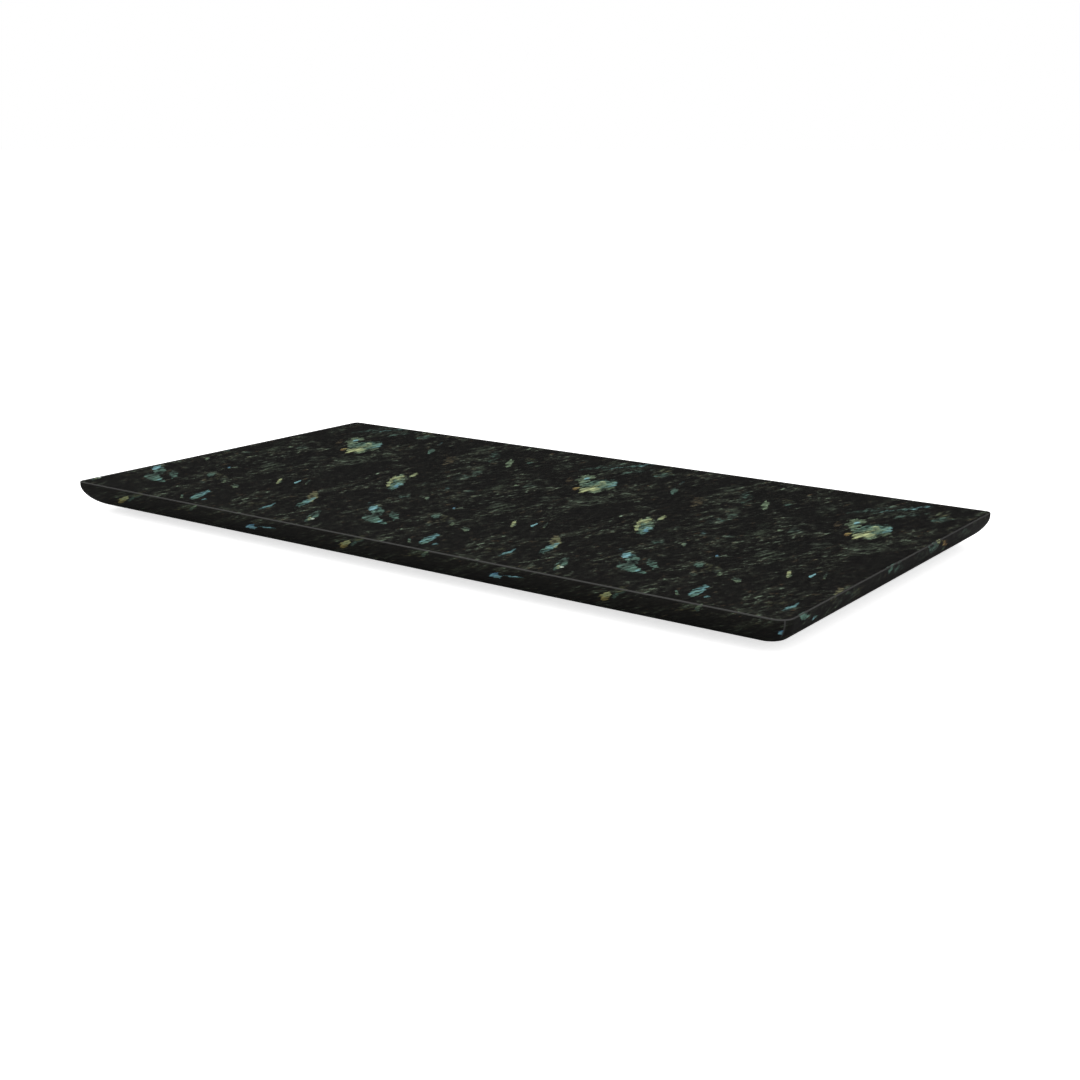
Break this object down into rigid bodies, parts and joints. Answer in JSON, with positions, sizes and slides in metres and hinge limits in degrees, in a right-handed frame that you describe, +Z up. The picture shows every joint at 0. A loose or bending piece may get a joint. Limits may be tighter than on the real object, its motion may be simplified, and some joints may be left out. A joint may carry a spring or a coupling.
{
  "type": "granite tooling slab",
  "caption": "Low rectangular stone slab with a flat working face, an undercut edge all round and small stick-on rubber feet, used as a hard base for stamping and tooling leather.",
  "frame": {"origin": "on the bench under the middle of the slab, at the height of the feet's soles", "axes": "+X along the slab's length, +Y across it from the front edge to the back, +Z up out of the working face"},
  "size_m": [0.61, 0.3174, 0.0242],
  "materials": {
    "granite": "honed",
    "foot_rubber": "matte",
    "adhesive": "matte"
  },
  "bodies": {
    "root": {"granite_slab": "granite", "foot_front_left": "foot_rubber", "foot_front_middle": "foot_rubber", "foot_front_right": "foot_rubber", "foot_back_left": "foot_rubber", "foot_back_middle": "foot_rubber", "foot_back_right": "foot_rubber", "adhesive_front_left": "adhesive", "adhesive_front_middle": "adhesive", "adhesive_front_right": "adhesive", "adhesive_back_left": "adhesive", "adhesive_back_middle": "adhesive", "adhesive_back_right": "adhesive"}
  },
  "joints": []
}
